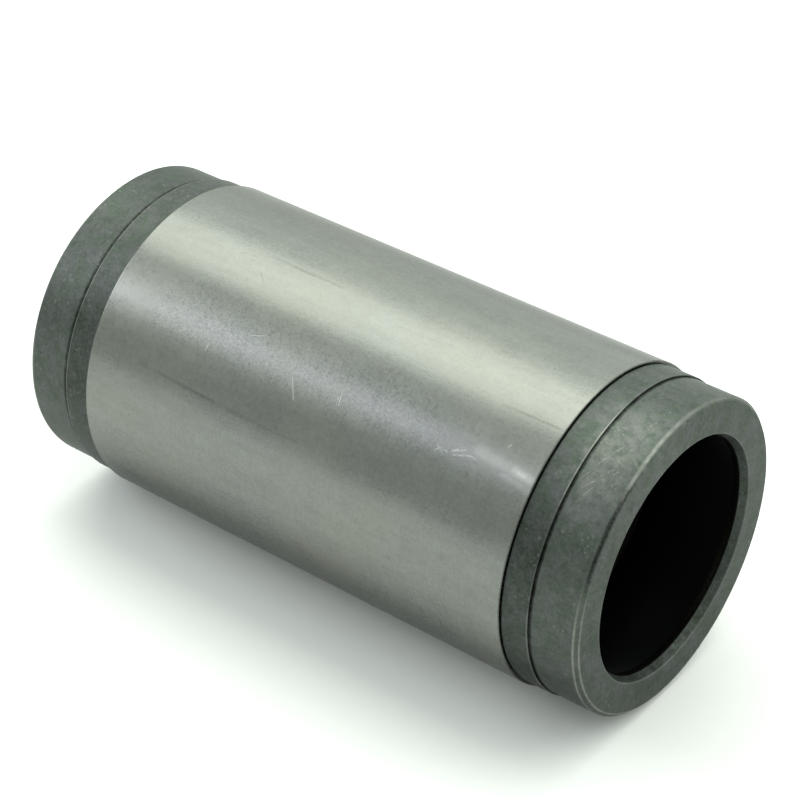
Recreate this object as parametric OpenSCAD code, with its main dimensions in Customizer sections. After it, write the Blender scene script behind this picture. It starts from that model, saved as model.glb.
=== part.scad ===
// Linear ball bushing of the stroke type.
// A ground seat sleeve and two dark stepped end collars are pressed on a
// hardened race tube. A ball cage floats inside, held by two snap rings.
// The bushing's axis is X, the origin is the middle of the bushing,
// and the front end is at +X.

/* [Outer shell] */
// Outside diameter of the ground seat
seat_d = 45; // [44.5:0.1:50]
// Length of the ground seat
seat_l = 69.5; // [66:0.5:74]
// Overall length over both end faces
overall_l = 92; // [90:0.5:110]
// Edge break on the ends of the ground seat
seat_edge = 0.15; // [0.05:0.05:0.4]
// How far the narrow dark band lies below the seat, on the radius
narrow_drop = 0.4; // [0.2:0.05:0.6]
// Length of the narrow dark band
narrow_l = 4.05; // [3:0.05:5]
// How far the wide dark band lies below the narrow one, on the radius
wide_drop = 0.25; // [0.1:0.05:0.5]
// Outer chamfer on the end faces
outer_chamfer = 0.55; // [0.3:0.05:1]
// Thickness of the collar lip that covers the end of the race tube
lip_t = 2; // [1.6:0.1:4]
// Lead-in at the mouth, on the radius
mouth_rise = 0.5; // [0.2:0.1:1]
// Lead-in at the mouth, along the axis
mouth_depth = 1.1; // [0.5:0.1:1.4]
// Width of the relief behind the seat's end
relief_w = 0.15; // [0.1:0.05:0.5]
// Depth of the relief behind the seat's end
relief_h = 0.2; // [0.1:0.05:0.6]

/* [Race tube] */
// Bore that the balls roll on
race_d = 33; // [32.98:0.01:33.04]
// Outside diameter of the race tube
tube_d = 39; // [38:0.5:41]
// Distance from the middle to the inner side of each ring groove
groove_x = 30.4; // [30.4:0.1:34]
// Width of the ring groove
groove_w = 1.3; // [1.3:0.05:1.6]
// Diameter of the ring groove
groove_d = 34.7; // [34.7:0.1:35.4]

/* [Retaining rings] */
// Thickness of a retaining ring
snap_t = 1.2; // [1:0.05:1.2]
// Outside diameter of a fitted retaining ring
snap_od = 34.6; // [34.2:0.1:34.6]
// Inside diameter of a fitted retaining ring
snap_id = 30.4; // [29:0.2:31.4]
// Width of the gap in a retaining ring
snap_gap = 6; // [3:0.5:9]

/* [Ball cage] */
// Length of the cage
cage_l = 44; // [43:0.5:44]
// Outside diameter of the cage
cage_od = 32.2; // [31.8:0.1:32.4]
// Bore of the cage
cage_id = 25.4; // [25.2:0.1:25.8]
// Edge break on the cage
cage_edge = 0.4; // [0.2:0.1:0.6]
// Distance from the middle to the inner side of each guide ring groove
guide_x = 20; // [19.6:0.1:20]
// Width of the guide ring groove
guide_w = 1.5; // [1.4:0.05:1.6]
// Diameter of the guide ring groove
guide_groove_d = 30; // [29.6:0.1:30.2]
// Thickness of a guide ring
guide_t = 1.2; // [1:0.05:1.25]
// Outside diameter of a guide ring
guide_od = 32.6; // [32.5:0.05:32.7]
// Inside diameter of a guide ring
guide_id = 30.4; // [30.4:0.05:31]
// Width of the gap in a guide ring
guide_gap = 2.5; // [1.5:0.5:4]

/* [Balls] */
// Ball diameter
ball_d = 3.969; // [3.94:0.001:3.969]
// Diameter of the circle through the ball centres
ball_pcd = 29; // [28.98:0.01:29]
// Diameter of the spherical pocket round each ball
pocket_d = 4.12; // [4.06:0.02:4.2]
// Balls around the cage
rows = 12; // [12:1:12]
// Balls along the cage in each row
balls_per_row = 10; // [6:1:10]
// Distance along the cage from ball to ball
ball_pitch = 3.8; // [3.7:0.05:3.8]
// Turn from each ball to the next but one, halved, so no two balls share a track
track_shift = 1.5; // [0:0.5:2]
// Turn of the first ball from the top
first_turn = 0.75; // [0:0.25:3]

/* [Hidden] */
$fn = 144;

seat_r = seat_d / 2;
narrow_r = seat_r - narrow_drop;
wide_r = narrow_r - wide_drop;
tube_r = tube_d / 2;
race_r = race_d / 2;
seat_x = seat_l / 2;
step_x = seat_x + narrow_l;
face_x = overall_l / 2;
tube_x = face_x - lip_t;
row_turn = 360 / rows;

bright = [0.62, 0.64, 0.62];
dark = [0.24, 0.26, 0.25];
race = [0.30, 0.31, 0.32];
spring = [0.36, 0.38, 0.42];
brass = [0.72, 0.58, 0.34];
ball = [0.80, 0.81, 0.83];

// A solid of revolution about X: points are [radius, x]
module turned(points) {
  rotate([0, 90, 0]) rotate_extrude() polygon(points);
}

// A flat open ring about X from x0 to x0 + t, with its gap at the top
module open_ring(x0, t, od, id, gap) {
  difference() {
    turned([[id / 2, x0], [od / 2, x0], [od / 2, x0 + t], [id / 2, x0 + t]]);
    translate([x0 - 1, -gap / 2, 0]) cube([t + 2, gap, od]);
  }
}

// Angle of ball k in row i about the axis
function ball_turn(i, k) = first_turn + row_turn * i + (k % 2) * row_turn / 2 + track_shift * k;
// Place of ball k along the axis
function ball_at(k) = (k - (balls_per_row - 1) / 2) * ball_pitch;

// Spheres of diameter d at the ball places of row i
module row_spheres(i, d) {
  for (k = [0 : balls_per_row - 1])
    rotate([ball_turn(i, k), 0, 0])
      translate([ball_at(k), 0, ball_pcd / 2])
        sphere(d = d, $fn = 48);
}

module ground_sleeve() {
  color(bright)
    turned([[tube_r, -seat_x], [seat_r - seat_edge, -seat_x],
            [seat_r, -seat_x + seat_edge], [seat_r, seat_x - seat_edge],
            [seat_r - seat_edge, seat_x], [tube_r, seat_x]]);
}

module race_tube() {
  g0 = groove_x;
  g1 = groove_x + groove_w;
  gr = groove_d / 2;
  color(race)
    turned([[race_r, -tube_x], [tube_r - 0.3, -tube_x], [tube_r, -tube_x + 0.3],
            [tube_r, tube_x - 0.3], [tube_r - 0.3, tube_x], [race_r, tube_x],
            [race_r, g1], [gr, g1], [gr, g0], [race_r, g0],
            [race_r, -g0], [gr, -g0], [gr, -g1], [race_r, -g1]]);
}

// Stepped collar: relief, narrow band, wide band, chamfer, face, mouth, lip
module end_collar() {
  turned([[tube_r, seat_x],
          [narrow_r - relief_h, seat_x], [narrow_r - relief_h, seat_x + relief_w],
          [narrow_r, seat_x + relief_w], [narrow_r, step_x - 0.08],
          [narrow_r - 0.08, step_x], [wide_r, step_x],
          [wide_r, face_x - outer_chamfer], [wide_r - outer_chamfer, face_x],
          [race_r + mouth_rise, face_x], [race_r, face_x - mouth_depth],
          [race_r, tube_x], [tube_r, tube_x]]);
}

module end_collar_front() { color(dark) end_collar(); }
module end_collar_rear() { color(dark) mirror([1, 0, 0]) end_collar(); }

// Retaining rings sit in the middle of their grooves; gaps at the bottom and top
module retaining_ring_front() {
  color(spring) rotate([180, 0, 0])
    open_ring(groove_x + (groove_w - snap_t) / 2, snap_t, snap_od, snap_id, snap_gap);
}
module retaining_ring_rear() {
  color(spring) mirror([1, 0, 0])
    open_ring(groove_x + (groove_w - snap_t) / 2, snap_t, snap_od, snap_id, snap_gap);
}

// Guide rings float in the middle of their grooves in the cage
module cage_guide_ring_front() {
  color(spring) rotate([-40, 0, 0])
    open_ring(guide_x + (guide_w - guide_t) / 2, guide_t, guide_od, guide_id, guide_gap);
}
module cage_guide_ring_rear() {
  color(spring) mirror([1, 0, 0]) rotate([140, 0, 0])
    open_ring(guide_x + (guide_w - guide_t) / 2, guide_t, guide_od, guide_id, guide_gap);
}

module ball_cage() {
  h = cage_l / 2;
  ro = cage_od / 2;
  ri = cage_id / 2;
  e = cage_edge;
  g0 = guide_x;
  g1 = guide_x + guide_w;
  gr = guide_groove_d / 2;
  color(brass)
    difference() {
      turned([[ri, -h], [ro - e, -h], [ro, -h + e],
              [ro, -g1], [gr, -g1], [gr, -g0], [ro, -g0],
              [ro, g0], [gr, g0], [gr, g1], [ro, g1],
              [ro, h - e], [ro - e, h], [ri, h]]);
      for (i = [0 : rows - 1]) row_spheres(i, pocket_d);
    }
}

module ball_row(i) { color(ball) row_spheres(i, ball_d); }
module ball_row_01() { ball_row(0); }
module ball_row_02() { ball_row(1); }
module ball_row_03() { ball_row(2); }
module ball_row_04() { ball_row(3); }
module ball_row_05() { ball_row(4); }
module ball_row_06() { ball_row(5); }
module ball_row_07() { ball_row(6); }
module ball_row_08() { ball_row(7); }
module ball_row_09() { ball_row(8); }
module ball_row_10() { ball_row(9); }
module ball_row_11() { ball_row(10); }
module ball_row_12() { ball_row(11); }

ground_sleeve();
race_tube();
end_collar_front();
end_collar_rear();
retaining_ring_front();
retaining_ring_rear();
cage_guide_ring_front();
cage_guide_ring_rear();
ball_cage();
ball_row_01();
ball_row_02();
ball_row_03();
ball_row_04();
ball_row_05();
ball_row_06();
ball_row_07();
ball_row_08();
ball_row_09();
ball_row_10();
ball_row_11();
ball_row_12();
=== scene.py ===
import math

import bmesh
import bpy
from mathutils import Matrix, Vector


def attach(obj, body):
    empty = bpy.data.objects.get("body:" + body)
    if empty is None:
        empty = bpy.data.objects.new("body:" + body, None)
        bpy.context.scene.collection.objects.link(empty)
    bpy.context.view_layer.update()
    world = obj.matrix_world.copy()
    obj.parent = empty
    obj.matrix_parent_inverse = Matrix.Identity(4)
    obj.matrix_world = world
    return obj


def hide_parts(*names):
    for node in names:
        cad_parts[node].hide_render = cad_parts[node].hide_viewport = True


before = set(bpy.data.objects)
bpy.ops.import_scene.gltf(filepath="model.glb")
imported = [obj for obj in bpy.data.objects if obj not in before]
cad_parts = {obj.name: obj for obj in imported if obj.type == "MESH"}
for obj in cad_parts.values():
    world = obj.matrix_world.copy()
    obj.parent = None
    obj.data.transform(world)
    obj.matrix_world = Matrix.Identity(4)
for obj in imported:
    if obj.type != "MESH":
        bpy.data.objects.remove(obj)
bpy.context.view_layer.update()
MM = 0.001

# ---------------------------------------------------------------- camera
scene = bpy.context.scene
scene.view_settings.view_transform = "Standard"
scene.view_settings.look = "None"
scene.view_settings.exposure = 0.0
scene.view_settings.gamma = 1.0

cam_data = bpy.data.cameras.new("camera")
cam_data.sensor_width = 36.0
cam_data.lens = 116.4
cam_data.clip_start = 0.01
cam_data.clip_end = 20.0
camera = bpy.data.objects.new("camera", cam_data)
scene.collection.objects.link(camera)
back = Vector((0.50190, -0.63973, 0.58210)).normalized()
right = Vector((0.78678, 0.61722, 0.0)).normalized()
up = back.cross(right).normalized()
right = up.cross(back).normalized()
turn = Matrix((right, up, back)).transposed().to_4x4()
camera.matrix_world = Matrix.Translation((0.17476, -0.22043, 0.20571)) @ turn
scene.camera = camera


# ---------------------------------------------------------------- meshes
def rounded(points, steps=4, hold=0.04):
    """A closed profile of (radius, x, corner radius) in mm, with its corners turned into arcs.
    A holding point either side of each arc keeps the flats flat when the mesh is shaded smooth."""
    out = []
    n = len(points)
    for i in range(n):
        p = Vector(points[i][:2])
        a = Vector(points[i - 1][:2])
        b = Vector(points[(i + 1) % n][:2])
        r = points[i][2]
        da, db = (a - p), (b - p)
        la, lb = da.length, db.length
        da.normalize(), db.normalize()
        half = math.acos(max(-1, min(1, da.dot(db)))) / 2
        if r <= 0 or abs(math.pi / 2 - half) < 0.01:
            out.append(p)
            continue
        t = min(r / math.tan(half), 0.45 * la, 0.45 * lb)
        r = t * math.tan(half)
        c = p + (da + db).normalized() * (r / math.sin(half))
        s, e = p + da * t, p + db * t
        if la > 2.4 * (t + hold):
            out.append(p + da * (t + hold))
        va, vb = s - c, e - c
        ang = math.atan2(va.x * vb.y - va.y * vb.x, va.dot(vb))
        for k in range(steps + 1):
            w = ang * k / steps
            out.append(c + Vector((va.x * math.cos(w) - va.y * math.sin(w),
                                   va.x * math.sin(w) + va.y * math.cos(w))))
        if lb > 2.4 * (t + hold):
            out.append(p + db * (t + hold))
    return out


def finish_mesh(bm, name, recalc=True):
    if recalc:
        bmesh.ops.recalc_face_normals(bm, faces=bm.faces)
    mesh = bpy.data.meshes.new(name)
    bm.to_mesh(mesh)
    bm.free()
    for f in mesh.polygons:
        f.use_smooth = True
    obj = bpy.data.objects.new(name, mesh)
    scene.collection.objects.link(obj)
    return obj


def lathe(name, profile, segments=288, wobble=None):
    """A closed ring swept round X. Points are (radius, x) in mm."""
    bm = bmesh.new()
    rings = []
    for i in range(segments):
        a = 2 * math.pi * i / segments
        ring = []
        for p in profile:
            r = p[0] + (wobble(p[0], p[1], a) if wobble else 0.0)
            ring.append(bm.verts.new((p[1] * MM, -r * math.cos(a) * MM, r * math.sin(a) * MM)))
        rings.append(ring)
    n = len(profile)
    for i in range(segments):
        r0, r1 = rings[i], rings[(i + 1) % segments]
        for k in range(n):
            m = (k + 1) % n
            bm.faces.new((r0[k], r0[m], r1[m], r1[k]))
    return finish_mesh(bm, name)


def open_ring(name, x0, thick, r_out, r_in, gap, gap_at, edge=0.1, segments=220):
    """A flat open ring with rounded edges and rounded ends. gap_at is the angle of the gap's middle."""
    prof = rounded([(r_in, x0, edge), (r_out, x0, edge), (r_out, x0 + thick, edge), (r_in, x0 + thick, edge)], 3)
    cx = sum(p[0] for p in prof) / len(prof), sum(p[1] for p in prof) / len(prof)
    half = math.asin(gap / 2 / ((r_in + r_out) / 2))
    a0, a1 = gap_at + half, gap_at + 2 * math.pi - half
    span = a1 - a0
    end = edge / r_out
    stations = [(a0, 1 - edge / thick * 1.2), (a0 + end * 0.3, 1 - edge / thick * 0.5), (a0 + end, 1.0), (a0 + end * 1.3, 1.0)]
    stations += [(a0 + end * 1.3 + (span - 2.6 * end) * k / segments, 1.0) for k in range(1, segments)]
    stations += [(a1 - end * 1.3, 1.0), (a1 - end, 1.0), (a1 - end * 0.3, 1 - edge / thick * 0.5), (a1, 1 - edge / thick * 1.2)]
    bm = bmesh.new()
    rings = []
    for a, s in stations:
        ring = []
        for p in prof:
            r, x = cx[0] + (p[0] - cx[0]) * s, cx[1] + (p[1] - cx[1]) * s
            ring.append(bm.verts.new((x * MM, -r * math.cos(a) * MM, r * math.sin(a) * MM)))
        rings.append(ring)
    n = len(prof)
    for i in range(len(rings) - 1):
        for k in range(n):
            m = (k + 1) % n
            bm.faces.new((rings[i][k], rings[i][m], rings[i + 1][m], rings[i + 1][k]))
    bm.faces.new(rings[0])
    bm.faces.new(list(reversed(rings[-1])))
    return finish_mesh(bm, name)


# ---------------------------------------------------------------- node helper
class Graph:
    def __init__(self, name):
        self.mat = bpy.data.materials.new(name)
        self.mat.use_nodes = True
        self.t = self.mat.node_tree
        self.t.nodes.clear()
        self.out = self.t.nodes.new("ShaderNodeOutputMaterial")
        self.bsdf = self.t.nodes.new("ShaderNodeBsdfPrincipled")
        self.t.links.new(self.bsdf.outputs[0], self.out.inputs["Surface"])
        tc = self.t.nodes.new("ShaderNodeTexCoord")
        self.p = tc.outputs["Object"]
        s = self.t.nodes.new("ShaderNodeSeparateXYZ")
        self.t.links.new(self.p, s.inputs[0])
        self.x, self.y, self.z = s.outputs
        self._mm = None

    def put(self, socket, value):
        if hasattr(value, "is_output"):
            self.t.links.new(value, socket)
        elif isinstance(value, (tuple, list)) and len(value) == 3 and len(socket.default_value) == 4:
            socket.default_value = (*value, 1.0)
        else:
            socket.default_value = value

    def math(self, op, a, b=None, c=None, clamp=False):
        n = self.t.nodes.new("ShaderNodeMath")
        n.operation = op
        n.use_clamp = clamp
        for i, v in enumerate((a, b, c)):
            if v is not None:
                self.put(n.inputs[i], v)
        return n.outputs[0]

    def vec(self, op, a, b=None, scale=None):
        n = self.t.nodes.new("ShaderNodeVectorMath")
        n.operation = op
        self.put(n.inputs[0], a)
        if b is not None:
            self.put(n.inputs[1], b)
        if scale is not None:
            self.put(n.inputs["Scale"], scale)
        return n.outputs["Value"] if op in ("LENGTH", "DOT_PRODUCT", "DISTANCE") else n.outputs["Vector"]

    def combine(self, x, y, z=0.0):
        n = self.t.nodes.new("ShaderNodeCombineXYZ")
        for i, v in enumerate((x, y, z)):
            self.put(n.inputs[i], v)
        return n.outputs[0]

    def noise(self, scale, stretch=(1, 1, 1), detail=2.0, rough=0.5, shift=0.0, distort=0.0, vector=None):
        n = self.t.nodes.new("ShaderNodeTexNoise")
        n.noise_dimensions = "3D"
        v = self.vec("MULTIPLY", vector if vector is not None else self.p, stretch)
        if shift:
            v = self.vec("ADD", v, (shift, shift * 0.7, shift * 1.3))
        self.put(n.inputs["Vector"], v)
        n.inputs["Scale"].default_value = scale
        n.inputs["Detail"].default_value = detail
        n.inputs["Roughness"].default_value = rough
        n.inputs["Distortion"].default_value = distort
        return n.outputs["Fac"]

    def cells(self, scale, stretch=(1, 1, 1), feature="F1", shift=0.0, randomness=1.0):
        n = self.t.nodes.new("ShaderNodeTexVoronoi")
        n.feature = feature
        v = self.vec("MULTIPLY", self.p, stretch)
        if shift:
            v = self.vec("ADD", v, (shift, shift * 0.6, shift * 1.7))
        self.put(n.inputs["Vector"], v)
        n.inputs["Scale"].default_value = scale
        n.inputs["Randomness"].default_value = randomness
        return n.outputs["Distance"]

    def span(self, v, a, b, c=0.0, d=1.0, smooth=True):
        n = self.t.nodes.new("ShaderNodeMapRange")
        n.interpolation_type = "SMOOTHSTEP" if smooth else "LINEAR"
        n.clamp = True
        self.put(n.inputs["Value"], v)
        for k, w in (("From Min", a), ("From Max", b), ("To Min", c), ("To Max", d)):
            self.put(n.inputs[k], w)
        return n.outputs["Result"]

    def mix(self, fac, a, b, how="MIX"):
        n = self.t.nodes.new("ShaderNodeMix")
        n.data_type = "RGBA"
        n.blend_type = how
        n.clamp_factor = True
        self.put(n.inputs[0], fac)
        for s, v in ((n.inputs[6], a), (n.inputs[7], b)):
            self.put(s, v)
        return n.outputs[2]

    def bump(self, height, distance, strength=1.0, normal=None):
        n = self.t.nodes.new("ShaderNodeBump")
        n.inputs["Strength"].default_value = strength
        n.inputs["Distance"].default_value = distance
        self.put(n.inputs["Height"], height)
        if normal is not None:
            self.put(n.inputs["Normal"], normal)
        return n.outputs["Normal"]

    # lengths in mm from here on
    def mm(self):
        if self._mm is None:
            x = self.math("MULTIPLY", self.x, 1000.0)
            y = self.math("MULTIPLY", self.y, 1000.0)
            z = self.math("MULTIPLY", self.z, 1000.0)
            r = self.math("SQRT", self.math("ADD", self.math("MULTIPLY", y, y), self.math("MULTIPLY", z, z)))
            ang = self.math("MULTIPLY", self.math("ARCTAN2", z, self.math("MULTIPLY", y, -1.0)), 57.29578)
            self._mm = (x, r, ang)
        return self._mm

    def near(self, v, centre, inner, outer):
        """1 within inner of centre, falling to 0 at outer."""
        d = self.math("ABSOLUTE", self.math("SUBTRACT", v, centre))
        return self.span(d, inner, outer, 1.0, 0.0)

    def top(self, *values):
        v = values[0]
        for w in values[1:]:
            v = self.math("MAXIMUM", v, w)
        return v

    def stroke(self, flat, a, b, width, soft):
        """A straight mark on the unrolled surface from a to b, in mm."""
        d = (b[0] - a[0], b[1] - a[1], 0.0)
        n2 = d[0] ** 2 + d[1] ** 2
        rel = self.vec("SUBTRACT", flat, (a[0], a[1], 0.0))
        t = self.math("MULTIPLY", self.vec("DOT_PRODUCT", rel, d), 1.0 / n2, clamp=True)
        t.node.use_clamp = True
        foot = self.vec("SCALE", d, scale=t)
        dist = self.vec("LENGTH", self.vec("SUBTRACT", rel, foot))
        return self.span(dist, width, width + soft, 1.0, 0.0)

    def shader(self, **values):
        for k, v in values.items():
            self.put(self.bsdf.inputs[k.replace("_", " ")], v)


# ---------------------------------------------------------------- materials
def ground_steel():
    g = Graph("ground_steel")
    x, r, ang = g.mm()
    R = 0.3927
    flat = g.combine(x, g.math("MULTIPLY", ang, R))
    # grinding lines run round the seat: fast along X, slow round it
    lines = g.noise(1.0, (2600, 130, 130), 3.0, 0.62)
    coarse = g.noise(1.0, (900, 90, 90), 2.0, 0.55, 11.0)
    grain = g.noise(1.0, (1900, 1900, 1900), 2.0, 0.65, 5.0)
    sparkle = g.noise(1.0, (5600, 5600, 5600), 2.0, 0.6, 27.0)
    hatch = g.noise(1.0, (2600, 7000, 7000), 2.0, 0.6, 71.0)
    streak = g.noise(1.0, (110, 950, 950), 3.0, 0.62, 3.0)
    drift = g.noise(1.0, (14, 150, 150), 3.0, 0.55, 41.0)
    cloud = g.noise(1.0, (60, 75, 75), 3.0, 0.55, 21.0)
    patch = g.noise(1.0, (260, 260, 260), 4.0, 0.6, 51.0)
    pits = g.span(g.cells(300.0, shift=4.0), 0.03, 0.075, 1.0, 0.0)
    pits = g.math("MULTIPLY", pits, g.span(g.noise(1.0, (140, 140, 140), 2.0, 0.5, 31.0), 0.56, 0.68))

    def marks(rows):
        return g.top(*[g.stroke(flat, (x0, a0 * R), (x1, a1 * R), w, soft) for x0, a0, x1, a1, w, soft in rows])

    # ends in mm along X and degrees round it, then half width and softness
    dark = marks([(-22.6, 26.3, -17.2, 26.0, 0.02, 0.30), (-17.2, 26.0, -13.2, 25.6, 0.02, 0.26),
                  (-13.0, 80.3, -9.4, 80.2, 0.02, 0.18), (28.0, 64.8, 34.0, 64.9, 0.01, 0.20)])
    faint = marks([(-26.4, 26.6, -12.0, 25.4, 0.02, 0.42), (-12.0, 25.4, -5.0, 25.0, 0.02, 0.45),
                   (-5.0, 25.0, 1.0, 25.2, 0.01, 0.30), (-16.4, 80.9, -4.7, 80.6, 0.02, 0.24),
                   (-21.2, 77.1, -18.8, 78.3, 0.02, 0.18), (-16.2, 72.8, -14.4, 69.0, 0.02, 0.16),
                   (-17.2, 68.7, -17.1, 68.1, 0.06, 0.18), (-9.1, 102.4, -8.9, 101.9, 0.10, 0.26),
                   (25.4, 64.8, 34.4, 64.9, 0.02, 0.26)])
    light = marks([(-2.31, 41.4, -1.49, 37.6, 0.030, 0.08), (-3.0, 44.2, -2.31, 41.4, 0.005, 0.07),
                   (-16.97, 39.9, -16.91, 42.8, 0.02, 0.08), (5.01, 42.0, 4.78, 46.0, 0.010, 0.07),
                   (4.68, 42.0, 4.51, 44.6, 0.005, 0.06), (-11.9, 50.8, -9.7, 52.7, 0.012, 0.07)])
    scuffs = marks([(20.2, 42.1, 21.0, 43.9, 0.02, 0.12), (21.0, 43.9, 22.0, 43.3, 0.02, 0.11),
                    (22.6, 44.2, 23.3, 45.6, 0.02, 0.11), (23.0, 44.6, 24.3, 46.3, 0.015, 0.12),
                    (22.8, 43.1, 25.2, 45.2, 0.02, 0.12), (25.2, 45.2, 26.0, 45.0, 0.02, 0.14),
                    (20.3, 44.3, 21.7, 41.9, 0.005, 0.10), (29.3, 52.8, 29.5, 53.7, 0.03, 0.10)])
    # painted highlight: a glint and a bright smear where the strip highlight reaches the seat's near end
    painted_glint = marks([(31.6, 46.9, 33.9, 46.2, 0.05, 0.85)])
    painted_glint_core = marks([(32.2, 46.7, 33.1, 46.4, 0.04, 0.42)])
    painted_highlight_smear = marks([(26.0, 48.0, 34.4, 46.0, 0.20, 1.00), (30.4, 44.0, 34.6, 42.5, 0.08, 0.60)])
    ragged = g.span(g.noise(1.0, (900, 900, 900), 3.0, 0.65, 8.0), 0.30, 0.66)
    dark = g.math("MULTIPLY", dark, g.span(ragged, 0.0, 1.0, 0.65, 1.0))
    light = g.math("MULTIPLY", light, g.span(ragged, 0.0, 1.0, 0.45, 1.0))
    scuffs = g.math("MULTIPLY", scuffs, g.span(ragged, 0.0, 1.0, 0.25, 1.0))
    painted_glint_core = g.math("MULTIPLY", painted_glint_core, g.span(ragged, 0.0, 1.0, 0.45, 1.0))

    # painted shade: a darker band round the seat at 12 degrees
    painted_shade_band = g.near(ang, 12.0, 4.0, 17.0)
    # painted shade: the seat's rounded ends darkened where they meet the collars
    edge = g.span(g.math("ABSOLUTE", x), 34.56, 34.66)
    # painted sparkle: extra fleck contrast only in the band near 49 degrees where the strip highlight falls
    highlight_sparkle_band = g.math("MULTIPLY", g.near(ang, 49.0, 5.0, 14.0), g.math("MULTIPLY", g.span(x, -31.0, -24.0), g.span(x, 28.0, 12.0)))
    fleck = g.math("ADD", g.math("MULTIPLY", sparkle, 0.5), g.math("MULTIPLY", g.noise(1.0, (3100, 3100, 3100), 2.0, 0.6, 47.0), 0.5))
    mottle = g.noise(1.0, (880, 880, 880), 3.0, 0.6, 37.0)
    # painted shade: a darker band under the seat at -42 degrees, where it reflects the floor's shadow
    painted_underside_shade = g.near(ang, -42.0, 3.0, 11.0)

    def around(v, amount):
        return g.math("MULTIPLY", g.math("SUBTRACT", v, 0.5), amount)

    v = g.math("ADD", 1.0, around(lines, 0.08))
    for f, k in ((grain, 0.27), (sparkle, 0.06), (streak, 0.20), (drift, 0.16), (cloud, 0.12), (patch, 0.17), (mottle, 0.14)):
        v = g.math("ADD", v, around(f, k))
    v = g.math("ADD", v, g.math("MULTIPLY", around(fleck, 1.45), highlight_sparkle_band))
    for f, k in ((pits, -0.03), (painted_shade_band, -0.10), (painted_underside_shade, -0.12), (dark, -0.17), (faint, -0.12), (light, 1.05), (scuffs, 0.72), (painted_glint, 0.26), (painted_glint_core, 0.34), (painted_highlight_smear, 0.22), (edge, -0.40)):
        v = g.math("ADD", v, g.math("MULTIPLY", f, k))
    cool = g.vec("SCALE", (0.2145, 0.2225, 0.2105), scale=v)
    warm = g.vec("SCALE", (0.219, 0.2225, 0.205), scale=v)
    col = g.mix(g.span(cloud, 0.35, 0.65), cool, warm)
    rough = g.math("ADD", 0.285, around(lines, 0.06))
    for f, k in ((cloud, 0.07), (grain, 0.12), (patch, 0.06)):
        rough = g.math("ADD", rough, around(f, k))
    rough = g.math("ADD", rough, g.math("MULTIPLY", pits, 0.02))
    h = g.math("ADD", g.math("MULTIPLY", lines, 0.14), g.math("MULTIPLY", coarse, 0.05))
    h = g.math("ADD", h, g.math("MULTIPLY", grain, 0.32))
    h = g.math("ADD", h, g.math("MULTIPLY", sparkle, 0.25))
    h = g.math("ADD", h, g.math("MULTIPLY", hatch, 0.34))
    h = g.math("ADD", h, g.math("MULTIPLY", streak, 0.35))
    h = g.math("ADD", h, g.math("MULTIPLY", patch, 0.06))
    g.shader(Base_Color=col, Metallic=1.0, Roughness=rough, Anisotropic=0.5, Specular_Tint=(0.58, 0.58, 0.58),
             Tangent=g.combine(1.0, 0.0, 0.0), Normal=g.bump(h, 0.000040, 0.6))
    return g.mat


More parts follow.
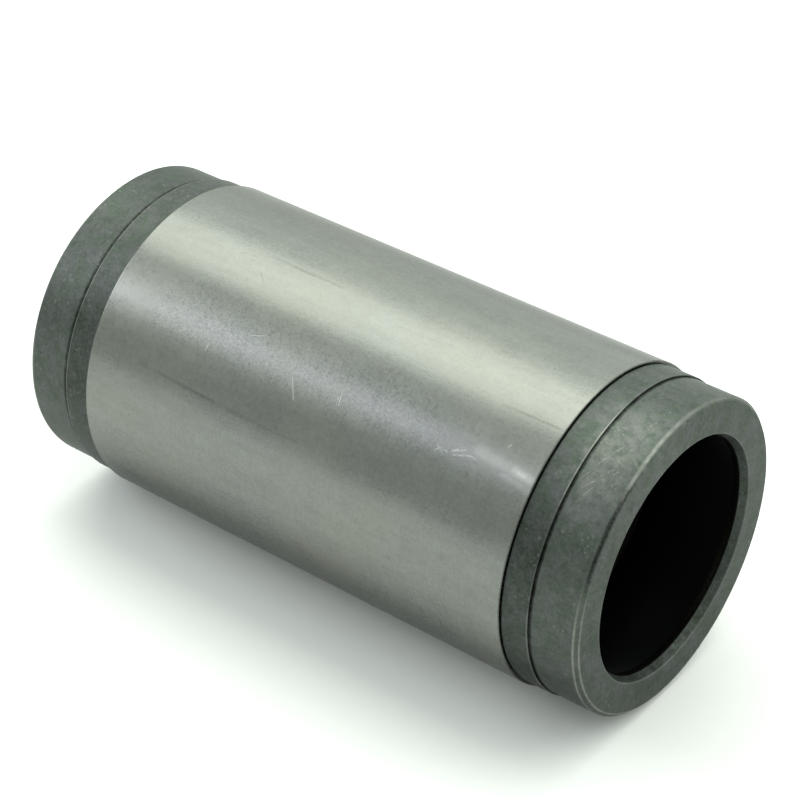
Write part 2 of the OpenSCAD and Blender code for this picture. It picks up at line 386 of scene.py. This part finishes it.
def oxide_steel():
    g = Graph("oxide_steel")
    x, r, ang = g.mm()
    ax = g.math("ABSOLUTE", x)
    fine = g.noise(1.0, (2300, 2300, 2300), 3.0, 0.70, 2.0)
    mid = g.noise(1.0, (950, 950, 950), 3.0, 0.65, 9.0)
    blot = g.noise(1.0, (420, 420, 420), 3.0, 0.6, 33.0)
    cloud = g.noise(1.0, (110, 110, 110), 3.0, 0.55, 14.0)
    turned = g.noise(1.0, (2200, 90, 90), 2.0, 0.55, 4.0)
    speck = g.span(g.cells(1250.0, shift=2.0), 0.08, 0.32, 1.0, 0.0)
    speck = g.math("MULTIPLY", speck, g.span(g.noise(1.0, (420, 420, 420), 3.0, 0.6, 17.0), 0.44, 0.62))
    on_face = g.span(ax, 45.92, 45.98)
    rays = g.noise(1.0, (1.0, 1.0, 1.0), 2.0, 0.6, 3.0, 0.0, g.combine(g.math("MULTIPLY", ang, 0.62), g.math("MULTIPLY", r, 0.8)))
    front = g.span(x, -1.0, 1.0)
    wear_noise = g.span(g.noise(1.0, (300, 300, 300), 4.0, 0.65, 6.0), 0.30, 0.66)
    wear_fine = g.span(g.noise(1.0, (1100, 1100, 1100), 3.0, 0.65, 66.0), 0.30, 0.62)
    # edges where the dark skin has rubbed thin, on the profile's own corners, brightened as painted highlight at the
    # angles where light catches them; the broad light on top of the chamfer is a painted highlight
    # the angle jumps from 180 to -180 behind, so whatever follows it fades out before that
    ahead = g.math("MULTIPLY", g.span(ang, -165.0, -85.0), g.span(ang, 176.0, 136.0))
    high = g.math("MULTIPLY", ahead, g.math("MULTIPLY", g.span(ang, 46.0, 64.0), g.span(ang, 104.0, 70.0, 0.30, 1.0)))
    low = g.math("MULTIPLY", ahead, g.span(ang, 27.0, 6.0))
    band = g.near(g.math("ADD", ax, r), 67.28, 0.10, 0.46)
    # across the chamfer, 0 on its outer corner and 0.78 on its inner one
    across = g.math("MULTIPLY", g.math("ADD", g.math("SUBTRACT", ax, r), -23.6), 0.7071)
    painted_chamfer_highlight = g.math("MULTIPLY", band, g.near(across, 0.22, 0.08, 0.34))
    smudge_and_shade_mask = g.math("MULTIPLY", band, g.near(across, 0.34, 0.13, 0.38))
    rim = g.math("MULTIPLY", g.near(ax, 45.38, 0.02, 0.24), g.span(r, 21.5, 21.7))
    brow = g.math("MULTIPLY", g.near(r, 21.28, 0.02, 0.20), g.span(ax, 45.6, 45.8))
    # painted highlight across the top of the chamfer, and rubbed corner lines brightened low down as painted highlight
    edge_wear_and_highlight = g.top(g.math("MULTIPLY", painted_chamfer_highlight, g.math("MULTIPLY", high, 0.95)),
                 g.math("MULTIPLY", g.top(rim, brow), g.math("MULTIPLY", low, 0.62)))
    # a dark smudge on the front chamfer near 40 degrees, also painted shade that holds down the highlight the lamps put
    # there
    smudge_and_painted_shade = g.math("MULTIPLY", smudge_and_shade_mask, g.near(ang, 40.5, 13.0, 24.0))
    smudge_and_painted_shade = g.math("MULTIPLY", smudge_and_painted_shade, g.math("MULTIPLY", front, g.span(wear_noise, 0.0, 1.0, 1.0, 0.7)))
    step = g.math("MULTIPLY", g.near(ax, 38.74, 0.02, 0.17), g.span(r, 21.9, 22.0))
    # the step's rubbed corner, brightened between 45 and 80 degrees as painted highlight
    at = g.top(g.math("MULTIPLY", g.near(ang, 62.0, 12.0, 24.0), 0.85), g.math("MULTIPLY", g.math("MULTIPLY", ahead, g.span(ang, 12.0, 0.0)), 0.35), 0.10)
    step = g.math("MULTIPLY", step, g.span(front, 0.0, 1.0, 0.42, at))
    mouth = g.math("MULTIPLY", g.near(r, 17.06, 0.02, 0.15), g.span(ax, 45.6, 45.8))
    throat = g.math("MULTIPLY", g.near(ax, 44.92, 0.02, 0.22), g.span(r, 17.0, 16.8, 0.0, 1.0))
    wear_and_highlight = g.top(edge_wear_and_highlight, step, g.math("MULTIPLY", mouth, 0.20), g.math("MULTIPLY", throat, 0.06))
    wear_and_highlight = g.math("MULTIPLY", wear_and_highlight, g.span(g.math("MULTIPLY", wear_noise, wear_fine), 0.0, 0.5, 0.62, 1.0))
    # painted shadow: a dark line on the wide band just behind the step
    shade = g.math("MULTIPLY", g.near(ax, 38.98, g.span(front, 0.0, 1.0, 0.22, 0.14), g.span(front, 0.0, 1.0, 0.66, 0.36)), g.span(r, 22.0, 21.9))
    # painted shade on the mouth's lead-in chamfer, turning into painted light near the top
    ring = g.math("MULTIPLY", g.span(r, 16.98, 16.9), g.span(ax, 44.9, 45.0))
    ring = g.math("MULTIPLY", ring, g.span(g.near(ang, 84.0, 18.0, 60.0), 0.0, 1.0, 1.0, -0.6))
    # painted shade: the collar's bore past the mouth darkened to near-black, like the inside of the bore
    painted_bore_shade = g.math("MULTIPLY", g.span(r, 16.62, 16.53), g.span(ax, 45.0, 44.9))
    # painted shade: the front collar darker underneath
    painted_underside_shade = g.math("MULTIPLY", ahead, g.math("MULTIPLY", g.span(ang, -8.0, -30.0), g.span(on_face, 0.0, 1.0, 1.0, 0.0)))
    painted_underside_shade = g.math("MULTIPLY", painted_underside_shade, front)
    # painted light: the rear collar lighter underneath
    painted_underside_light = g.math("MULTIPLY", g.span(x, 1.0, -1.0), g.math("MULTIPLY", ahead, g.span(ang, 8.0, -10.0)))
    # painted shade: the narrow bands darker from 70 degrees downwards
    painted_lower_shade = g.math("MULTIPLY", g.span(r, 21.9, 22.0), g.math("MULTIPLY", ahead, g.span(ang, 70.0, 22.0)))
    # handling: a rubbed area on top of the front collar, brightened further as a painted highlight, and fine scuffs
    rub_and_highlight = g.math("MULTIPLY", g.near(x, 41.6, 1.5, 6.4), g.near(ang, 66.0, 8.0, 34.0))
    rub_and_highlight = g.math("MULTIPLY", rub_and_highlight, g.span(g.noise(1.0, (520, 520, 520), 4.0, 0.7, 61.0), 0.36, 0.66, 0.25, 1.0))
    scuff = g.span(g.noise(1.0, (520, 1700, 1700), 3.0, 0.7, 24.0, 0.6), 0.56, 0.72)
    scuff = g.math("MULTIPLY", scuff, g.span(cloud, 0.40, 0.60))
    flat = g.combine(x, g.math("MULTIPLY", ang, 0.3814))
    R = 0.3814
    cuts = g.top(*[g.stroke(flat, (x0, a0 * R), (x1, a1 * R), 0.01, 0.11) for x0, a0, x1, a1 in (
        (39.4, 52.4, 40.1, 56.6), (40.2, 50.8, 41.3, 54.6), (40.9, 49.0, 41.6, 52.6), (41.7, 57.0, 42.7, 60.5),
        (42.5, 64.0, 43.4, 62.6), (41.5, 66.0, 42.1, 69.0), (43.1, 59.0, 43.4, 60.4), (40.6, 60.5, 41.0, 63.0))])
    cuts = g.math("MULTIPLY", cuts, wear_fine)

    def around(v, amount):
        return g.math("MULTIPLY", g.math("SUBTRACT", v, 0.5), amount)

    v = g.math("ADD", 1.0, around(fine, 0.86))
    for f, k in ((mid, 0.78), (blot, 0.50), (cloud, 0.40)):
        v = g.math("ADD", v, around(f, k))
    v = g.math("ADD", v, g.math("MULTIPLY", around(rays, 0.70), on_face))
    for f, k in ((speck, 0.62), (scuff, 0.35), (rub_and_highlight, 0.80), (cuts, 1.15), (smudge_and_painted_shade, -0.88), (on_face, -0.07), (shade, -0.66), (ring, -0.26),
                 (painted_lower_shade, -0.27), (painted_underside_shade, -0.28), (painted_underside_light, 0.18)):
        v = g.math("ADD", v, g.math("MULTIPLY", f, k))
    v = g.math("MAXIMUM", v, 0.14)
    tone = g.mix(g.span(blot, 0.35, 0.65), (0.0695, 0.0855, 0.0700), (0.0785, 0.0845, 0.0820))
    tone = g.mix(g.span(v, 1.12, 1.9), tone, (0.0790, 0.0830, 0.0765))
    col = g.vec("SCALE", tone, scale=g.math("MULTIPLY", v, g.span(painted_bore_shade, 0.0, 1.0, 1.0, 0.16)))
    # rubbed metal colour, which also carries the painted highlights on the chamfer and the corners
    col = g.mix(wear_and_highlight, col, (0.262, 0.266, 0.245))
    rough = g.math("ADD", 0.46, around(mid, 0.20))
    rough = g.math("SUBTRACT", rough, g.math("MULTIPLY", wear_and_highlight, 0.06))
    h = g.math("ADD", g.math("MULTIPLY", fine, 0.9), g.math("MULTIPLY", turned, 0.30))
    h = g.math("ADD", h, g.math("MULTIPLY", mid, 1.2))
    h = g.math("ADD", h, g.math("MULTIPLY", speck, 0.3))
    g.shader(Base_Color=col, Metallic=0.85, Roughness=rough, Specular_IOR_Level=0.4, Specular_Tint=(0.66, 0.66, 0.66),
             Normal=g.bump(h, 0.000030, 0.52))
    return g.mat


def race_steel():
    g = Graph("race_steel")
    honed = g.noise(1.0, (2400, 90, 90), 3.0, 0.6, 2.0)
    cloud = g.noise(1.0, (90, 90, 90), 3.0, 0.55, 7.0)
    grain = g.noise(1.0, (2200, 2200, 2200), 2.0, 0.6, 5.0)
    v = g.math("ADD", 1.0, g.math("MULTIPLY", g.math("SUBTRACT", honed, 0.5), 0.6))
    v = g.math("ADD", v, g.math("MULTIPLY", g.math("SUBTRACT", cloud, 0.5), 0.8))
    v = g.math("ADD", v, g.math("MULTIPLY", g.math("SUBTRACT", grain, 0.5), 0.5))
    # painted shade: near-black with almost no reflection, standing in for the shade inside the bore
    col = g.vec("SCALE", (0.0010, 0.0012, 0.0012), scale=v)
    rough = g.math("ADD", 0.42, g.math("MULTIPLY", g.math("SUBTRACT", cloud, 0.5), 0.14))
    h = g.math("ADD", g.math("MULTIPLY", honed, 0.6), g.math("MULTIPLY", grain, 0.3))
    g.shader(Base_Color=col, Metallic=0.0, Roughness=rough, Specular_IOR_Level=0.007, Normal=g.bump(h, 0.000008, 0.5))
    return g.mat


def spring_steel(name, cold, warm, metallic, specular, roughness):
    g = Graph(name)
    grain = g.noise(1.0, (1800, 1800, 1800), 2.0, 0.6, 5.0)
    cloud = g.noise(1.0, (240, 240, 240), 3.0, 0.6, 13.0)
    streak = g.noise(1.0, (4200, 260, 260), 3.0, 0.6, 3.0)
    col = g.mix(g.span(cloud, 0.38, 0.62), cold, warm)
    v = g.math("ADD", 1.0, g.math("MULTIPLY", g.math("SUBTRACT", grain, 0.5), 0.5))
    v = g.math("ADD", v, g.math("MULTIPLY", g.math("SUBTRACT", streak, 0.5), 0.4))
    col = g.vec("SCALE", col, scale=v)
    rough = g.math("ADD", roughness, g.math("MULTIPLY", g.math("SUBTRACT", streak, 0.5), 0.16))
    g.shader(Base_Color=col, Metallic=metallic, Roughness=rough, Specular_IOR_Level=specular,
             Normal=g.bump(streak, 0.000008, 0.5))
    return g.mat


def cage_brass():
    g = Graph("cage_brass")
    tool = g.noise(1.0, (1900, 40, 40), 2.0, 0.5, 2.0)
    fine = g.noise(1.0, (5200, 120, 120), 2.0, 0.6, 6.0)
    cloud = g.noise(1.0, (150, 150, 150), 3.0, 0.6, 9.0)
    tarnish = g.span(g.noise(1.0, (320, 320, 320), 4.0, 0.65, 19.0), 0.45, 0.70)
    v = g.math("ADD", 1.0, g.math("MULTIPLY", g.math("SUBTRACT", tool, 0.5), 0.22))
    v = g.math("ADD", v, g.math("MULTIPLY", g.math("SUBTRACT", fine, 0.5), 0.20))
    v = g.math("ADD", v, g.math("MULTIPLY", g.math("SUBTRACT", cloud, 0.5), 0.30))
    col = g.mix(tarnish, (0.62, 0.44, 0.19), (0.44, 0.29, 0.13))
    col = g.vec("SCALE", col, scale=v)
    rough = g.math("ADD", 0.28, g.math("MULTIPLY", tarnish, 0.16))
    rough = g.math("ADD", rough, g.math("MULTIPLY", g.math("SUBTRACT", tool, 0.5), 0.12))
    h = g.math("ADD", g.math("MULTIPLY", tool, 0.7), g.math("MULTIPLY", fine, 0.4))
    g.shader(Base_Color=col, Metallic=1.0, Roughness=rough, Specular_Tint=(0.66, 0.50, 0.28), Normal=g.bump(h, 0.00001, 0.6))
    return g.mat


def ball_steel():
    g = Graph("ball_steel")
    cloud = g.noise(1.0, (500, 500, 500), 3.0, 0.55, 3.0)
    oil = g.noise(1.0, (1500, 1500, 1500), 3.0, 0.6, 8.0)
    v = g.math("ADD", 1.0, g.math("MULTIPLY", g.math("SUBTRACT", cloud, 0.5), 0.16))
    col = g.vec("SCALE", (0.62, 0.63, 0.64), scale=v)
    rough = g.math("ADD", 0.10, g.math("MULTIPLY", g.span(oil, 0.45, 0.75), 0.14))
    g.shader(Base_Color=col, Metallic=1.0, Roughness=rough, Specular_Tint=(0.70, 0.71, 0.72), Normal=g.bump(oil, 0.000003, 0.3))
    return g.mat


STEEL = ground_steel()
OXIDE = oxide_steel()
RACE_PAINTED_DARK = race_steel()
SPRING = spring_steel("spring_steel", (0.115, 0.130, 0.165), (0.170, 0.160, 0.150), 1.0, 0.5, 0.34)
# the snap rings' blackened finish, taken down to near-black as painted shade for the inside of the bore
BLACKED_AND_SHADED = spring_steel("spring_steel_blackened_shaded", (0.0030, 0.0034, 0.0040), (0.0050, 0.0048, 0.0046), 0.0, 0.02, 0.5)
BRASS = cage_brass()
BALL = ball_steel()


def show(obj, material, body, slot, *nodes):
    obj.data.materials.clear()
    obj.data.materials.append(material)
    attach(obj, body)
    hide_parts(*nodes)
    return obj


# ---------------------------------------------------------------- outer shell
sleeve = lathe("seat_sleeve", rounded([
    (19.5, -34.75, 0.1), (22.5, -34.75, 0.16), (22.5, 34.75, 0.16), (19.5, 34.75, 0.1)], 5, 0.05), 320)
show(sleeve, STEEL, "shell", "ground_steel", "ground_sleeve")

COLLAR = [
    (19.5, 34.75, 0.0), (21.9, 34.75, 0.0), (21.9, 34.9, 0.03), (22.1, 34.9, 0.05),
    (22.1, 38.8, 0.08), (21.76, 38.8, 0.02), (21.76, 38.95, 0.02), (21.85, 39.0, 0.02), (21.85, 45.45, 0.10), (21.3, 46.0, 0.10),
    (17.0, 46.0, 0.08), (16.5, 44.9, 0.08), (16.5, 44.0, 0.0), (19.5, 44.0, 0.0)]
front = lathe("front_collar", rounded(COLLAR, 4), 320)
show(front, OXIDE, "shell", "oxide_steel", "end_collar_front")
rear = lathe("rear_collar", rounded([(r, -x, c) for r, x, c in COLLAR], 4), 320)
show(rear, OXIDE, "shell", "oxide_steel", "end_collar_rear")

tube = lathe("inner_race", rounded([
    (16.5, -44.0, 0.0), (19.2, -44.0, 0.0), (19.5, -43.7, 0.0), (19.5, 43.7, 0.0), (19.2, 44.0, 0.0), (16.5, 44.0, 0.0),
    (16.5, 31.7, 0.06), (17.35, 31.7, 0.05), (17.35, 30.4, 0.05), (16.5, 30.4, 0.06),
    (16.5, -30.4, 0.06), (17.35, -30.4, 0.05), (17.35, -31.7, 0.05), (16.5, -31.7, 0.06)], 3), 256)
show(tube, RACE_PAINTED_DARK, "shell", "race_steel", "race_tube")

# angles are measured from -Y towards +Z, so 90 degrees is the top
snap_front = open_ring("front_snap_ring", 30.45, 1.2, 17.3, 15.2, 6.0, math.radians(-90), 0.12)
show(snap_front, BLACKED_AND_SHADED, "shell", "spring_steel", "retaining_ring_front")
snap_rear = open_ring("rear_snap_ring", -31.65, 1.2, 17.3, 15.2, 6.0, math.radians(90), 0.12)
show(snap_rear, BLACKED_AND_SHADED, "shell", "spring_steel", "retaining_ring_rear")

# ---------------------------------------------------------------- cage
guide_front = open_ring("front_guide_ring", 20.15, 1.2, 16.3, 15.2, 2.5, math.radians(90 + 40), 0.1)
show(guide_front, SPRING, "guide_rings", "spring_steel", "cage_guide_ring_front")
guide_rear = open_ring("rear_guide_ring", -21.35, 1.2, 16.3, 15.2, 2.5, math.radians(90 - 140), 0.1)
show(guide_rear, SPRING, "guide_rings", "spring_steel", "cage_guide_ring_rear")

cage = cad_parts["ball_cage"]
cage.data.materials.clear()
cage.data.materials.append(BRASS)

ROWS, PER_ROW, PITCH, PCR, BALL_R = 12, 10, 3.8, 14.5, 1.9845


def ball_row(i):
    bm = bmesh.new()
    for k in range(PER_ROW):
        # the CAD turns each ball from +Z about +X
        a = math.radians(0.75 + 30.0 * i + (k % 2) * 15.0 + 1.5 * k)
        c = Vector(((k - (PER_ROW - 1) / 2) * PITCH, -PCR * math.sin(a), PCR * math.cos(a)))
        made = bmesh.ops.create_uvsphere(bm, u_segments=40, v_segments=20, radius=BALL_R * MM)
        spin = Matrix.Rotation(1.3 * k + i, 3, "Y") @ Matrix.Rotation(0.7 * i, 3, "X")
        for v in made["verts"]:
            v.co = spin @ v.co + c * MM
    # the spheres already face outwards, and recalculating several islands at once can flip one
    return finish_mesh(bm, f"balls_{i + 1:02d}", recalc=False)


for i in range(ROWS):
    show(ball_row(i), BALL, "cage", "ball_steel", f"ball_row_{i + 1:02d}")

# ---------------------------------------------------------------- floor
fb = bmesh.new()
bmesh.ops.create_grid(fb, x_segments=40, y_segments=40, size=2.2)
for v in fb.verts:
    v.co.z = -22.5 * MM
floor = finish_mesh(fb, "floor")
gf = Graph("floor_white")
dust = gf.noise(1.0, (700, 700, 700), 2.0, 0.5)
shade = gf.math("ADD", 0.985, gf.math("MULTIPLY", dust, 0.02))
gf.shader(Base_Color=gf.vec("SCALE", (0.835, 0.84, 0.835), scale=shade), Roughness=0.75, Specular_IOR_Level=0.2)
floor.data.materials.append(gf.mat)

# ---------------------------------------------------------------- light
world = bpy.data.worlds.new("studio")
scene.world = world
world.use_nodes = True
wt = world.node_tree
wt.nodes.clear()
wo = wt.nodes.new("ShaderNodeOutputWorld")
bg = wt.nodes.new("ShaderNodeBackground")
wt.links.new(bg.outputs[0], wo.inputs[0])
tc = wt.nodes.new("ShaderNodeTexCoord")
sep = wt.nodes.new("ShaderNodeSeparateXYZ")
wt.links.new(tc.outputs["Generated"], sep.inputs[0])
ramp = wt.nodes.new("ShaderNodeValToRGB")
half = wt.nodes.new("ShaderNodeMath")
half.operation = "MULTIPLY_ADD"
wt.links.new(sep.outputs[1], half.inputs[0])
half.inputs[1].default_value = 0.5
half.inputs[2].default_value = 0.5
wt.links.new(half.outputs[0], ramp.inputs[0])
TINT = (0.925, 1.0, 0.935)
stops = [(0.05, 0.66), (0.17, 0.77), (0.30, 0.93), (0.42, 1.12), (0.80, 1.62), (0.91, 1.66), (0.97, 2.22)]
while len(ramp.color_ramp.elements) < len(stops):
    ramp.color_ramp.elements.new(0.5)
for e, (at, level) in zip(ramp.color_ramp.elements, stops):
    e.position = at
    e.color = (level * TINT[0], level * TINT[1], level * TINT[2], 1.0)
ramp.color_ramp.interpolation = "EASE"
wt.links.new(ramp.outputs[0], bg.inputs["Color"])
bg.inputs["Strength"].default_value = 1.0


def softbox(name, place, aim, size, radiance, color=(0.95, 1.0, 0.95), skew=0.0):
    """A rectangular area light with a given radiance, so its size can change without changing how it reads in a reflection."""
    data = bpy.data.lights.new(name, "AREA")
    data.shape = "RECTANGLE"
    data.size, data.size_y = size
    data.energy = radiance * math.pi * size[0] * size[1]
    data.color = color
    obj = bpy.data.objects.new(name, data)
    scene.collection.objects.link(obj)
    obj.location = place
    z = (Vector(place) - Vector(aim)).normalized()
    x = Vector((1, 0, 0))
    y = z.cross(x).normalized()
    x = y.cross(z).normalized()
    c, s = math.cos(math.radians(skew)), math.sin(math.radians(skew))
    x, y = x * c + y * s, y * c - x * s
    obj.matrix_world = Matrix.Translation(place) @ Matrix((x, y, z)).transposed().to_4x4()
    return obj


softbox("key_top", (0.02, 0.158, 0.64), (0.02, 0.0, 0), (1.52, 0.44), 1.83, (0.975, 1.0, 0.905))
softbox("key_rear", (-0.10, 0.50, 0.50), (-0.10, 0.0, 0), (1.8, 0.30), 0.16, (0.93, 1.0, 0.93))
softbox("strip_front", (-0.66, -0.40, 0.52), (-0.66, 0, 0), (0.88, 0.17), 1.18, (0.99, 0.965, 1.19), -5.0)
softbox("fill_left", (-0.98, -0.32, 0.48), (0, 0, 0), (0.5, 0.5), 5.4, (0.94, 1.0, 0.97))
